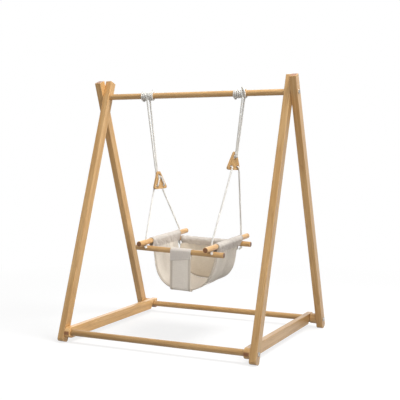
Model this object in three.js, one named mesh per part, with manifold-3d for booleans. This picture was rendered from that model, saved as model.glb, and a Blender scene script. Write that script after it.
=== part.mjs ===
// Foldable baby swing with stand: two crossed pairs of wooden legs, a top bar, two cross dowels,
// two side rails that hook over the rear dowel, and a canvas seat hung from two ropes.
// Millimetres. X runs along the top bar, Y from front to rear, Z up. The origin is on the floor,
// in the middle between the four feet.

import * as THREE from 'three';
import { mergeVertices } from 'three/addons/utils/BufferGeometryUtils.js';
import Module from 'manifold-3d';

const wasm = await Module();
wasm.setup();

// Fits
const gap = 0.3;
const boltClearance = 0.4;
const notchClearance = 0.5;

// Legs, four alike
const barLength = 860;
const legThickness = 30;
const legWidth = 40;
const legSpread = THREE.MathUtils.degToRad(19.8);
const legPivotSpan = 1098;
const legHead = 74;
const legFoot = 42;
const footRadius = 12;
const headRadius = 3;
const legEase = 1.5;

// Round bars of the stand
const barDiameter = 27;
const barEase = 1.5;
const boltHoleDepth = 42;

// Side rails
const railThickness = 26;
const railHeight = 46;
const notchSlant = THREE.MathUtils.degToRad(36);
const railCorner = 3;

// Spacers beside the rails on the rear dowel
const spacerDiameter = 46;

// Furniture bolts
const boltDiameter = 8;
const boltHeadDiameter = 18;
const boltHeadHeight = 3;
const boltSocketDiameter = 6;
const boltSocketDepth = 1.8;
const boltHeadEase = 1;
const boltGrip = 36;

// Rope
const ropeDiameter = 8;
const ropeGap = 0.6;
const wrapGap = 0.7;
const ropeSides = 6;
const loopSteps = 24;
const ropeBend = 6;
const wraps = {
  left: {
    hang: -231.5, turnsLeft: 2.72, liftTurns: 0.14, crossTurns: 0.44, dropTurns: 0.07, turnsRight: 3.3,
  },
  right: {
    hang: 242.3, turnsLeft: 4.72, liftTurns: 0.12, crossTurns: 0.66, dropTurns: 0.08, turnsRight: 1.3,
  },
};

// Rope adjusters
const adjusterBase = 84;
const adjusterHeight = 80;
const adjusterThickness = 12;
const adjusterCorner = 9;
const adjusterEase = 1.5;
const adjusterTopLeft = 733;
const adjusterTopRight = 824;
const adjusterTurn = THREE.MathUtils.degToRad(-20);
const adjusterInward = 11;
const strandClearance = 0.8;
const leaveClearance = 4.4;
const adjusterHoleDrop = 24;
const adjusterHole = 20;
const adjusterTopWidth = 16;
const lowerHole = 13;
const lowerHoleInset = 15;
const lowerHoleSpread = 40;

// Seat frame: side dowels lie on the front and rear dowels
const seatX = 9;
const seatY = -9;
const seatHeight = 428.5;
const seatPitch = THREE.MathUtils.degToRad(2.1);
const seatRoll = THREE.MathUtils.degToRad(1.9);
const seatDowel = 24;
const sideDowelLength = 460;
const sideDowelShift = 5;
const crossDowelLength = 421;
const frontDowelShift = 5;
const rearDowelShift = -4;
const sideDowelSpacing = 316;
const crossDowelSpacing = 322;
const dowelDrop = 26;
const dowelEase = 1.2;
const ropeHole = 9.6;
const knotDiameter = 13;
const knotTilt = THREE.MathUtils.degToRad(20);
const knotTurn = THREE.MathUtils.degToRad(25);

// Canvas
const cloth = 2.4;
const sleeveEase = 0.4;
const sideSleeveFront = -104;
const sideSleeveRear = 152;
const backSleeveLength = 283;
const strapWidth = 97;
const strapShift = 17;
const strapFlareShare = 0.05;
const strapHem = 23;
const hemThickness = 1.2;
const seatDepthFront = 182;
const seatDepthRear = 182;
const bowlFront = -98;
const bowlLip = -155;
const bowlRear = 124;
const bowlRearTop = 134;
const wallFrontShares = [[0.87, 0.52], [0.84, 1]];
const wallRearShares = [[0.84, 0.5], [0.97, 1]];
const foldDepth = 3;
const backStartShare = 0.22;
const backTaperShare = 0.08;

// Worked out from the sizes above
const barRadius = barDiameter / 2;
const railHalf = railHeight / 2;
const footHeight = (legFoot - footRadius) * Math.cos(legSpread)
  + (legWidth / 2 - footRadius) * Math.sin(legSpread) + footRadius;
const pivotHeight = footHeight + legPivotSpan * Math.cos(legSpread);
const pivotReach = legPivotSpan * Math.sin(legSpread);
const footReach = pivotReach + (legFoot - footRadius) * Math.sin(legSpread)
  + (legWidth / 2 - footRadius) * Math.cos(legSpread) + footRadius;
const frontLegX = barLength / 2 + gap;
const rearLegX = frontLegX + legThickness + gap;
const railX = frontLegX - gap - railThickness;
const frontDowelEnd = railX - gap;
const spacerX = railX + railThickness + 2 * gap;
const rearDowelEnd = spacerX - gap;
const ropeRadius = ropeDiameter / 2;
const wrapRadius = barRadius + ropeGap + ropeRadius;
const wrapPitch = ropeDiameter + wrapGap;
const faceOffset = adjusterThickness / 2 + ropeRadius + strandClearance;
const leaveOffset = adjusterThickness / 2 + ropeRadius + leaveClearance;
const hangSlant = Math.tan(seatRoll);
const sleeveInner = seatDowel / 2 + sleeveEase;
const sleeveOuter = sleeveInner + cloth;

const pine = new THREE.MeshStandardMaterial({ color: 0xd9b27c, roughness: 0.6, metalness: 0 });
const cotton = new THREE.MeshStandardMaterial({ color: 0xe4e0d8, roughness: 0.95, metalness: 0 });
const canvas = new THREE.MeshStandardMaterial({ color: 0xd8cfc4, roughness: 0.95, metalness: 0 });
const steel = new THREE.MeshStandardMaterial({ color: 0x8d8b87, roughness: 0.4, metalness: 1 });

// Geometry helpers

function onlyPositions(geometry) {
  const bare = geometry.clone();
  for (const name of Object.keys(bare.attributes)) {
    if (name !== 'position') bare.deleteAttribute(name);
  }
  return mergeVertices(bare, 1e-4);
}

function toSolid(geometry) {
  const bare = onlyPositions(geometry);
  return new wasm.Manifold(new wasm.Mesh({
    numProp: 3,
    vertProperties: new Float32Array(bare.attributes.position.array),
    triVerts: new Uint32Array(bare.index.array),
  }));
}

function fromSolid(solid) {
  const mesh = solid.getMesh();
  const geometry = new THREE.BufferGeometry();
  geometry.setAttribute('position', new THREE.BufferAttribute(new Float32Array(mesh.vertProperties), 3));
  geometry.setIndex(new THREE.BufferAttribute(new Uint32Array(mesh.triVerts), 1));
  geometry.computeVertexNormals();
  return geometry;
}

function cut(geometry, ...tools) {
  const body = tools.reduce((solid, tool) => solid.subtract(toSolid(tool)), toSolid(geometry));
  return fromSolid(body);
}

// A flat outline drawn in Y and Z, made thick along X from 0, with its edges eased.
function board(shape, thickness, ease, curveSegments = 6) {
  const geometry = new THREE.ExtrudeGeometry(shape, {
    depth: thickness - 2 * ease,
    bevelEnabled: true,
    bevelThickness: ease,
    bevelSize: ease,
    bevelOffset: -ease,
    bevelSegments: 1,
    curveSegments,
  });
  geometry.translate(0, 0, ease);
  const axes = new THREE.Matrix4().makeBasis(
    new THREE.Vector3(0, 1, 0), new THREE.Vector3(0, 0, 1), new THREE.Vector3(1, 0, 0));
  return geometry.applyMatrix4(axes);
}

function circleHole(x, y, diameter) {
  const path = new THREE.Path();
  path.absarc(x, y, diameter / 2, 0, 2 * Math.PI, true);
  return path;
}

// A round solid about X, from a profile of [distance along X, radius] that starts and ends on the axis.
function turned(profile, sides = 24) {
  const points = profile.map(([along, radius]) => new THREE.Vector2(radius, along));
  return new THREE.LatheGeometry(points, sides).rotateZ(-Math.PI / 2);
}

// A round bar about X with eased ends, from x = 0 to x = length.
function dowel(length, diameter, ease, sides = 24) {
  const radius = diameter / 2;
  return turned([[0, 0], [0, radius - ease], [ease, radius], [length - ease, radius],
    [length, radius - ease], [length, 0]], sides);
}

function drill(diameter, length) {
  return new THREE.CylinderGeometry(diameter / 2, diameter / 2, length, 16);
}

// A tube of cloth about X, from x = 0 to x = length.
function sleeve(length) {
  const profile = [[0, sleeveInner], [length, sleeveInner], [length, sleeveOuter], [0, sleeveOuter],
    [0, sleeveInner]];
  return new THREE.LatheGeometry(profile.map(([along, radius]) => new THREE.Vector2(radius, -along)), 20)
    .rotateZ(Math.PI / 2);
}

// A closed sheet between two grids of points of the same size.
function sheet(outer, inner) {
  const rows = outer.length;
  const columns = outer[0].length;
  const positions = [];
  for (const grid of [outer, inner]) {
    for (const row of grid) row.forEach((point) => positions.push(...point));
  }
  const index = [];
  const at = (side, row, column) => side * rows * columns + row * columns + column;
  const quad = (a, b, c, d) => index.push(a, b, c, a, c, d);
  for (let i = 0; i < rows - 1; i += 1) {
    for (let j = 0; j < columns - 1; j += 1) {
      quad(at(0, i, j), at(0, i, j + 1), at(0, i + 1, j + 1), at(0, i + 1, j));
      quad(at(1, i, j), at(1, i + 1, j), at(1, i + 1, j + 1), at(1, i, j + 1));
    }
  }
  for (let j = 0; j < columns - 1; j += 1) {
    quad(at(0, 0, j), at(1, 0, j), at(1, 0, j + 1), at(0, 0, j + 1));
    quad(at(0, rows - 1, j), at(0, rows - 1, j + 1), at(1, rows - 1, j + 1), at(1, rows - 1, j));
  }
  for (let i = 0; i < rows - 1; i += 1) {
    quad(at(0, i, 0), at(0, i + 1, 0), at(1, i + 1, 0), at(1, i, 0));
    quad(at(0, i, columns - 1), at(1, i, columns - 1), at(1, i + 1, columns - 1), at(0, i + 1, columns - 1));
  }
  const geometry = new THREE.BufferGeometry();
  geometry.setAttribute('position', new THREE.Float32BufferAttribute(positions, 3));
  geometry.setIndex(index);
  geometry.computeVertexNormals();
  return geometry;
}

// A closed tube through points, its section carried along without twist.
function tube(points, radius, sides) {
  const tangents = points.map((point, i) => {
    const before = points[Math.max(i - 1, 0)];
    const after = points[Math.min(i + 1, points.length - 1)];
    return after.clone().sub(before).normalize();
  });
  const side = new THREE.Vector3(1, 0, 0);
  if (Math.abs(tangents[0].x) > 0.9) side.set(0, 1, 0);
  const positions = [];
  points.forEach((point, i) => {
    side.addScaledVector(tangents[i], -side.dot(tangents[i])).normalize();
    const other = new THREE.Vector3().crossVectors(tangents[i], side);
    for (let k = 0; k < sides; k += 1) {
      const angle = (k / sides) * 2 * Math.PI;
      const place = point.clone().addScaledVector(side, radius * Math.cos(angle))
        .addScaledVector(other, radius * Math.sin(angle));
      positions.push(place.x, place.y, place.z);
    }
  });
  const index = [];
  for (let i = 0; i < points.length - 1; i += 1) {
    for (let k = 0; k < sides; k += 1) {
      const a = i * sides + k;
      const b = i * sides + ((k + 1) % sides);
      index.push(a, b, b + sides, a, b + sides, a + sides);
    }
  }
  for (let k = 1; k < sides - 1; k += 1) {
    const last = (points.length - 1) * sides;
    index.push(0, k + 1, k, last, last + k, last + k + 1);
  }
  const geometry = new THREE.BufferGeometry();
  geometry.setAttribute('position', new THREE.Float32BufferAttribute(positions, 3));
  geometry.setIndex(index);
  geometry.computeVertexNormals();
  return geometry;
}

// The corners of a route with each inner corner turned into an arc.
function roundedRoute(corners, radius, steps = 4) {
  const route = [corners[0].clone()];
  for (let i = 1; i < corners.length - 1; i += 1) {
    const into = corners[i].clone().sub(corners[i - 1]).normalize();
    const out = corners[i + 1].clone().sub(corners[i]).normalize();
    const turn = into.angleTo(out);
    const reach = radius * Math.tan(turn / 2);
    const start = corners[i].clone().addScaledVector(into, -reach);
    const inward = out.clone().addScaledVector(into, -out.dot(into)).normalize();
    const centre = start.clone().addScaledVector(inward, radius);
    for (let k = 0; k <= steps; k += 1) {
      const angle = (k / steps) * turn;
      route.push(centre.clone().addScaledVector(inward, -radius * Math.cos(angle))
        .addScaledVector(into, radius * Math.sin(angle)));
    }
  }
  route.push(corners[corners.length - 1].clone());
  return route;
}

function mesh(name, geometry, material, parent) {
  const piece = new THREE.Mesh(geometry, material);
  piece.name = name;
  parent.add(piece);
  return piece;
}

// Stand

// A leg hangs from its upper pivot at the origin, from x = 0 outwards.
function legGeometry() {
  const half = legWidth / 2;
  const top = legHead;
  const bottom = -(legPivotSpan + legFoot);
  const shape = new THREE.Shape();
  shape.moveTo(half, bottom + footRadius);
  shape.lineTo(half, top - headRadius);
  shape.absarc(half - headRadius, top - headRadius, headRadius, 0, Math.PI / 2);
  shape.lineTo(-half + headRadius, top);
  shape.absarc(-half + headRadius, top - headRadius, headRadius, Math.PI / 2, Math.PI);
  shape.lineTo(-half, bottom + footRadius);
  shape.absarc(-half + footRadius, bottom + footRadius, footRadius, Math.PI, 1.5 * Math.PI);
  shape.absarc(half - footRadius, bottom + footRadius, footRadius, 1.5 * Math.PI, 2 * Math.PI);
  const bore = boltDiameter + 2 * boltClearance;
  shape.holes.push(circleHole(0, 0, bore), circleHole(0, -legPivotSpan, bore));
  return board(shape, legThickness, legEase);
}

function addLeg(name, side, x, angle, parent) {
  const leg = mesh(name, legGeometry(), pine, parent);
  leg.position.set(side > 0 ? x : -x - legThickness, 0, pivotHeight);
  leg.rotation.x = angle;
}

// A bar across the stand, with a blind bolt hole in each end.
function addBar(name, end, y, z, parent) {
  const body = dowel(2 * end, barDiameter, barEase).translate(-end, 0, 0);
  const holes = [-1, 1].map((side) => drill(boltDiameter + 2 * boltClearance, 2 * boltHoleDepth)
    .rotateZ(Math.PI / 2).translate(side * end, 0, 0));
  mesh(name, cut(body, ...holes), pine, parent).position.set(0, y, z);
}

// A side rail starts at the front dowel's axis and hooks over the rear dowel.
function railGeometry() {
  const span = 2 * pivotReach;
  const tail = pivotReach + footReach;
  const notch = barRadius + notchClearance;
  const leave = Math.PI - notchSlant;
  const slantDrop = railHalf + notch * Math.sin(leave);
  const mouthY = span + notch * Math.cos(leave) - slantDrop * Math.tan(notchSlant);
  const shape = new THREE.Shape();
  shape.absarc(0, 0, railHalf, Math.PI / 2, 1.5 * Math.PI);
  shape.lineTo(mouthY, -railHalf);
  shape.absarc(span, 0, notch, leave, 0, true);
  shape.lineTo(span + notch, -railHalf);
  shape.lineTo(tail - railCorner, -railHalf);
  shape.absarc(tail - railCorner, -railHalf + railCorner, railCorner, 1.5 * Math.PI, 2 * Math.PI);
  shape.lineTo(tail, railHalf - railCorner);
  shape.absarc(tail - railCorner, railHalf - railCorner, railCorner, 0, Math.PI / 2);
  shape.holes.push(circleHole(0, 0, boltDiameter + 2 * boltClearance));
  return board(shape, railThickness, legEase, 10);
}

function addRail(name, side, parent) {
  const rail = mesh(name, railGeometry(), pine, parent);
  rail.position.set(side > 0 ? railX : -railX - railThickness, -pivotReach, footHeight);
}

// A bolt lies along X with its head's inner face at x = 0 and its shank towards negative x.
function boltGeometry(shank) {
  const head = boltHeadDiameter / 2;
  const socket = boltSocketDiameter / 2;
  return turned([[-shank, 0], [-shank, boltDiameter / 2], [0, boltDiameter / 2], [0, head],
    [boltHeadHeight - boltHeadEase, head], [boltHeadHeight, head - boltHeadEase],
    [boltHeadHeight, socket],
    [boltHeadHeight - boltSocketDepth, socket], [boltHeadHeight - boltSocketDepth, 0]], 20);
}

function addBolt(name, side, outerFace, barEnd, y, z, parent) {
  const bolt = mesh(name, boltGeometry(outerFace + gap - barEnd + boltGrip), steel, parent);
  bolt.position.set(side * (outerFace + gap), y, z);
  bolt.rotation.z = side > 0 ? 0 : Math.PI;
}

function addSpacer(name, side, parent) {
  const width = rearLegX - gap - spacerX;
  const body = dowel(width, spacerDiameter, barEase);
  const bore = drill(boltDiameter + 2 * boltClearance, 3 * width).rotateZ(Math.PI / 2);
  const spacer = mesh(name, cut(body, bore), pine, parent);
  spacer.position.set(side > 0 ? spacerX : -spacerX - width, pivotReach, footHeight);
}

function buildStand(parent) {
  const sides = [['left', -1], ['right', 1]];
  const frontFace = frontLegX + legThickness;
  const rearFace = rearLegX + legThickness;
  for (const [word, side] of sides) {
    addLeg(`front_leg_${word}`, side, frontLegX, -legSpread, parent);
    addLeg(`rear_leg_${word}`, side, rearLegX, legSpread, parent);
    addRail(`side_rail_${word}`, side, parent);
    addSpacer(`rear_spacer_${word}`, side, parent);
    addBolt(`pivot_bolt_${word}`, side, rearFace, barLength / 2, 0, pivotHeight, parent);
    addBolt(`front_bolt_${word}`, side, frontFace, frontDowelEnd, -pivotReach, footHeight, parent);
    addBolt(`rear_bolt_${word}`, side, rearFace, rearDowelEnd, pivotReach, footHeight, parent);
  }
  addBar('top_bar', barLength / 2, 0, pivotHeight, parent);
  addBar('front_dowel', frontDowelEnd, -pivotReach, footHeight, parent);
  addBar('rear_dowel', rearDowelEnd, pivotReach, footHeight, parent);
}

// Rope adjusters

// A blunt triangle with round corners, its upper rope hole at the origin, drawn in Y and Z.
function adjusterGeometry() {
  const top = adjusterHoleDrop;
  const bottom = top - adjusterHeight;
  const half = adjusterBase / 2;
  const crown = adjusterTopWidth / 2;
  const corners = [[-half, bottom], [half, bottom], [crown, top], [-crown, top]];
  const shape = new THREE.Shape();
  corners.forEach(([y, z], i) => {
    const corner = new THREE.Vector3(y, z, 0);
    const before = new THREE.Vector3(...corners[(i + 3) % 4], 0).sub(corner).normalize();
    const after = new THREE.Vector3(...corners[(i + 1) % 4], 0).sub(corner).normalize();
    const half = before.angleTo(after) / 2;
    const inward = before.clone().add(after).normalize();
    const middle = corner.clone().addScaledVector(inward, adjusterCorner / Math.sin(half));
    const facing = Math.atan2(-inward.y, -inward.x);
    const turn = Math.PI / 2 - half;
    shape.absarc(middle.x, middle.y, adjusterCorner, facing - turn, facing + turn);
  });
  const lower = bottom + lowerHoleInset;
  shape.holes.push(circleHole(0, 0, adjusterHole));
  for (const side of [-1, 1]) shape.holes.push(circleHole(side * lowerHoleSpread / 2, lower, lowerHole));
  return board(shape, adjusterThickness, adjusterEase, 6).translate(-adjusterThickness / 2, 0, 0);
}

function seatMatrix() {
  const turn = new THREE.Euler(seatPitch, seatRoll, 0);
  return new THREE.Matrix4().makeRotationFromEuler(turn).setPosition(seatX, seatY, seatHeight);
}

// The place of an adjuster: a little inward of the straight line from its side's wrap to its
// side dowel.
function adjusterMatrix(side) {
  const top = side < 0 ? adjusterTopLeft : adjusterTopRight;
  const holeZ = top - adjusterHoleDrop;
  const upper = (side < 0 ? wraps.left : wraps.right).hang;
  const lower = seatX + side * sideDowelSpacing / 2;
  const fall = pivotHeight - seatHeight;
  const share = (pivotHeight - holeZ) / fall;
  const lean = new THREE.Matrix4().makeRotationY(Math.atan2(upper - lower, fall));
  const place = lean.multiply(new THREE.Matrix4().makeRotationZ(adjusterTurn));
  const x = upper + (lower - upper) * share - side * adjusterInward;
  return place.setPosition(x, seatY * share, holeZ);
}

// Ropes

function ease(share) {
  return (1 - Math.cos(Math.PI * THREE.MathUtils.clamp(share, 0, 1))) / 2;
}

// The rope on the bar, from where it rises behind the bar to where it falls in front of it: turns
// to the left, one crossing behind the bar in a second layer, and turns back to the middle.
function winding({ hang, turnsLeft, liftTurns, crossTurns, dropTurns, turnsRight }) {
  const rise = turnsLeft + liftTurns;
  const land = rise + crossTurns;
  const rest = Math.ceil(land + turnsRight) - land;
  const start = hang - wrapPitch / 4;
  const left = start - wrapPitch * rise;
  const right = start + wrapPitch * rest;
  const points = [];
  const last = land + rest - 0.5;
  for (let i = 0; i <= Math.round(last * loopSteps); i += 1) {
    const turn = i / loopSteps;
    const angle = turn * 2 * Math.PI;
    const raised = ease((turn - turnsLeft) / liftTurns) - ease((turn - land + dropTurns) / dropTurns);
    const radius = wrapRadius + raised * wrapPitch;
    let x = start - wrapPitch * turn;
    if (turn > rise) x = left + (right - left) * ease((turn - rise) / crossTurns);
    if (turn > land) x = right - wrapPitch * (turn - land);
    points.push(new THREE.Vector3(x, radius * Math.cos(angle), pivotHeight + radius * Math.sin(angle)));
  }
  return points;
}

// One strand from the bar through its adjuster, then down through both dowels of its corner.
function strandRoute(side, end, bar) {
  const local = adjusterMatrix(side);
  const place = (x, y, z) => new THREE.Vector3(x, y, z).applyMatrix4(local);
  const seat = seatMatrix();
  const lower = adjusterHoleDrop - adjusterHeight + lowerHoleInset;
  const cornerX = side * sideDowelSpacing / 2;
  const cornerY = end * crossDowelSpacing / 2;
  const entry = seatDowel / 2 + ropeDiameter;
  const outer = side * faceOffset;
  const leave = side * leaveOffset;
  return roundedRoute([
    bar,
    place(outer, end * wrapPitch / 2, 0),
    place(-outer, end * wrapPitch / 2, 0),
    place(-outer, end * lowerHoleSpread / 2, lower),
    place(leave, end * lowerHoleSpread / 2, lower),
    new THREE.Vector3(cornerX, cornerY, entry).applyMatrix4(seat),
    new THREE.Vector3(cornerX, cornerY, -dowelDrop - ropeRadius).applyMatrix4(seat),
  ], ropeBend);
}

// The whole rope of one side: rear strand, winding on the bar, front strand.
function ropeRoute(word, side) {
  const wound = winding(wraps[word]);
  const rear = strandRoute(side, 1, wound[0]);
  const front = strandRoute(side, -1, wound[wound.length - 1]);
  return [...rear.slice(1).reverse(), ...wound, ...front.slice(1)];
}

// The least distance between stretches of one rope that aren't neighbours, less its thickness.
function leastGap(points) {
  let least = Infinity;
  const lengths = [0];
  for (let i = 1; i < points.length; i += 1) {
    lengths.push(lengths[i - 1] + points[i].distanceTo(points[i - 1]));
  }
  for (let i = 0; i < points.length; i += 1) {
    for (let j = i + 1; j < points.length; j += 1) {
      const apart = lengths[j] - lengths[i];
      if (apart > 2.5 * ropeDiameter) least = Math.min(least, points[i].distanceTo(points[j]));
    }
  }
  return least - ropeDiameter;
}

function knotGeometry(stub) {
  const radius = knotDiameter / 2;
  const profile = [[stub, 0], [stub, ropeRadius]];
  for (let k = 1; k <= 7; k += 1) {
    const angle = (k / 8) * Math.PI;
    const x = radius * Math.cos(angle) - radius;
    if (x < -1) profile.push([x, radius * Math.sin(angle)]);
  }
  profile.splice(2, 0, [-1, ropeRadius]);
  profile.push([-2 * radius, 0]);
  return turned(profile.reverse(), 12);
}

function addSide(word, side, parent) {
  const adjuster = mesh(`rope_adjuster_${word}`, adjusterGeometry(), pine, parent);
  adjuster.applyMatrix4(adjusterMatrix(side));
  const route = ropeRoute(word, side);
  mesh(`rope_${word}`, tube(route, ropeRadius, ropeSides), cotton, parent);
  console.log(`rope_${word}: least gap to itself ${leastGap(route).toFixed(2)} mm`);
}

// Seat frame and canvas, in the seat's own frame at the height of the side dowels' axes

function addSideDowel(word, side, seat) {
  const body = dowel(sideDowelLength, seatDowel, dowelEase)
    .translate(sideDowelShift - sideDowelLength / 2, 0, 0).rotateZ(Math.PI / 2);
  const holes = [-1, 1].map((end) => drill(ropeHole, 2 * seatDowel).rotateX(Math.PI / 2)
    .translate(0, end * crossDowelSpacing / 2, 0));
  mesh(`seat_dowel_${word}`, cut(body, ...holes), pine, seat).position.x = side * sideDowelSpacing / 2;
}

// The way out of the front dowel at a place: from -Y turned up and to the right.
function knotExit(x, y, z) {
  const turned = new THREE.Matrix4().makeRotationZ(knotTurn);
  return turned.multiply(new THREE.Matrix4().makeRotationX(-knotTilt)).setPosition(x, y, z);
}

// The front dowel's rope holes turn forward at its axis; the rear dowel's go straight through.
function addCrossDowel(name, end, shift, seat) {
  const body = dowel(crossDowelLength, seatDowel, dowelEase)
    .translate(shift - crossDowelLength / 2, 0, 0);
  const rise = end < 0 ? seatDowel - ropeRadius - gap : 0;
  const tools = [];
  for (const side of [-1, 1]) {
    const x = side * sideDowelSpacing / 2;
    tools.push(drill(ropeHole, 2 * seatDowel).rotateX(Math.PI / 2).translate(x, 0, rise));
    if (end < 0) {
      tools.push(drill(ropeHole, seatDowel).translate(0, -seatDowel / 2, 0)
        .applyMatrix4(knotExit(x, 0, 0)));
    }
  }
  const piece = mesh(name, cut(body, ...tools), pine, seat);
  piece.position.set(0, end * crossDowelSpacing / 2, -dowelDrop);
}

function addKnots(word, side, seat) {
  const x = side * sideDowelSpacing / 2;
  const seatedAt = seatDowel / 2 + gap;
  const half = knotDiameter / 2;
  const aside = Math.sin(knotTurn) * Math.cos(knotTilt);
  const out = (seatedAt + half) / Math.sqrt(1 - aside ** 2) - half;
  const stubEnd = (ropeRadius * (1 + Math.sin(knotTilt)) + 2 * gap) / Math.cos(knotTilt);
  const front = mesh(`rope_knot_front_${word}`, knotGeometry(out - stubEnd), cotton, seat);
  front.geometry.rotateZ(Math.PI / 2).translate(0, -out, 0);
  front.applyMatrix4(knotExit(x, -crossDowelSpacing / 2, -dowelDrop));
  const rear = mesh(`rope_knot_rear_${word}`, knotGeometry(seatedAt - ropeRadius - gap), cotton, seat);
  rear.position.set(x, crossDowelSpacing / 2, -dowelDrop - seatedAt);
  rear.rotation.y = -Math.PI / 2;
}

// Half of the bowl's section: across and down as shares, from the side sleeve to the middle line.
function wallPoint(share, t) {
  const blend = (row, column) => THREE.MathUtils.lerp(wallFrontShares[row][column],
    wallRearShares[row][column], share);
  const curve = new THREE.CubicBezierCurve(
    new THREE.Vector2(1, 0),
    new THREE.Vector2(blend(0, 0), blend(0, 1)),
    new THREE.Vector2(blend(1, 0), blend(1, 1)),
    new THREE.Vector2(0, 1),
  );
  return curve.getPoint(t);
}

// How far back the bowl's rear edge and the back panel lean at a share of the depth.
function rearEdge(down) {
  return bowlRear + (bowlRearTop - bowlRear) * (1 - down) ** 1.5;
}

// A point of the bowl: share runs from front to rear, t down half of its section. The cloth hangs
// plumb, so it slants in the seat's own frame, and its front is drawn over to the strap.
function bowlPoint(share, t, side, inset) {
  const wall = wallPoint(share, t);
  const depth = seatDepthFront + (seatDepthRear - seatDepthFront) * share - inset;
  const front = bowlFront + (bowlLip - bowlFront) * wall.y;
  const y = front + (rearEdge(wall.y) - front) * share;
  const fold = foldDepth * Math.sin(share * 5 * Math.PI) * Math.sin(wall.y * Math.PI);
  const x = (sideDowelSpacing / 2 - inset) * wall.x + fold;
  const drawn = strapShift * wall.y * (1 - share) + hangSlant * depth * wall.y;
  return [side * x + drawn, y, -(sleeveOuter + gap) - depth * wall.y];
}

// A bowl hanging between the two side sleeves, open at the front for the legs.
function bowlGrid(inset) {
  const rows = 12;
  const half = 12;
  const grid = [];
  for (let i = 0; i <= rows; i += 1) {
    const row = [];
    for (let j = -half; j <= half; j += 1) {
      row.push(bowlPoint(i / rows, 1 - Math.abs(j) / half, j < 0 ? -1 : 1, inset));
    }
    grid.push(row);
  }
  return grid;
}

// The back panel stands inside the bowl's rear edge and leans up to the rear dowel's sleeve.
function backGrid(offset) {
  const rows = 8;
  const half = 10;
  const top = -dowelDrop - sleeveOuter - gap;
  const inset = 1.8 * cloth;
  const grid = [];
  for (let i = 0; i <= rows; i += 1) {
    const row = [];
    for (let j = -half; j <= half; j += 1) {
      const t = 1 - (1 - backStartShare) * Math.abs(j) / half;
      const [edgeX, , low] = bowlPoint(1, t, j < 0 ? -1 : 1, inset);
      const z = low + (top - low) * (i / rows);
      const slant = hangSlant * (low - z);
      const down = (-(sleeveOuter + gap) - z) / seatDepthRear;
      const edge = rearEdge(down) - inset;
      const lean = (1 - down) / (1 + (top + sleeveOuter + gap) / seatDepthRear);
      const reach = (crossDowelSpacing / 2 - cloth / 2 - edge) * lean ** 2;
      const y = edge + reach * (1 - (Math.abs(j) / half) ** 3);
      row.push([edgeX * (1 - backTaperShare * (i / rows)) + slant, y + offset, z]);
    }
    grid.push(row);
  }
  return grid;
}

// The strap between the legs: from the bowl's lip up to the front dowel's sleeve, hemmed at its top.
function strapGeometry() {
  const low = -(sleeveOuter + gap) - seatDepthFront;
  const high = -dowelDrop - sleeveOuter - gap;
  const foot = bowlLip - gap;
  const back = -crossDowelSpacing / 2 + cloth / 2;
  const front = back - cloth;
  const curve = 20;
  const shape = new THREE.Shape();
  shape.moveTo(foot, low);
  shape.lineTo(foot, low + cloth);
  shape.quadraticCurveTo(back, low + cloth, back, low + cloth + curve);
  shape.lineTo(back, high);
  shape.lineTo(front - hemThickness, high);
  shape.lineTo(front - hemThickness, high - strapHem);
  shape.lineTo(front, high - strapHem);
  shape.lineTo(front, low + curve);
  shape.quadraticCurveTo(front, low, foot, low);
  const strap = board(shape, strapWidth, 0.01, 5).translate(-strapWidth / 2, 0, 0);
  const place = strap.attributes.position;
  for (let i = 0; i < place.count; i += 1) {
    const below = high - place.getZ(i);
    const wide = place.getX(i) * (1 + strapFlareShare * below / (high - low));
    place.setX(i, strapShift + wide + hangSlant * below);
  }
  return strap;
}

function addCanvas(seat) {
  mesh('canvas_bowl', sheet(bowlGrid(cloth), bowlGrid(0)), canvas, seat);
  mesh('canvas_back', sheet(backGrid(0), backGrid(cloth)), canvas, seat);
  mesh('canvas_strap', strapGeometry(), canvas, seat);
  const length = sideSleeveRear - sideSleeveFront;
  for (const [word, side] of [['left', -1], ['right', 1]]) {
    const piece = mesh(`canvas_sleeve_${word}`, sleeve(length), canvas, seat);
    piece.position.set(side * sideDowelSpacing / 2, sideSleeveFront, 0);
    piece.rotation.z = Math.PI / 2;
  }
  const cross = [['front', -1, strapWidth, strapShift], ['rear', 1, backSleeveLength, 0]];
  for (const [word, end, width, shift] of cross) {
    const piece = mesh(`canvas_sleeve_${word}`, sleeve(width), canvas, seat);
    piece.position.set(shift - width / 2, end * crossDowelSpacing / 2, -dowelDrop);
  }
}

function buildSwing(parent) {
  for (const [word, side] of [['left', -1], ['right', 1]]) addSide(word, side, parent);
  const seat = new THREE.Group();
  seat.applyMatrix4(seatMatrix());
  parent.add(seat);
  for (const [word, side] of [['left', -1], ['right', 1]]) {
    addSideDowel(word, side, seat);
    addKnots(word, side, seat);
  }
  addCrossDowel('seat_dowel_front', -1, frontDowelShift, seat);
  addCrossDowel('seat_dowel_rear', 1, rearDowelShift, seat);
  addCanvas(seat);
}

const babySwing = new THREE.Group();
buildStand(babySwing);
buildSwing(babySwing);

export default babySwing;
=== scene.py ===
"""Looks of the foldable baby swing: wood, cotton rope, canvas, a pale studio and the camera.

Sizes are in millimetres in the row's frame, and become metres where a mesh is made.
"""

import math

import bpy
import numpy as np
from mathutils import Matrix, Vector


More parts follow.
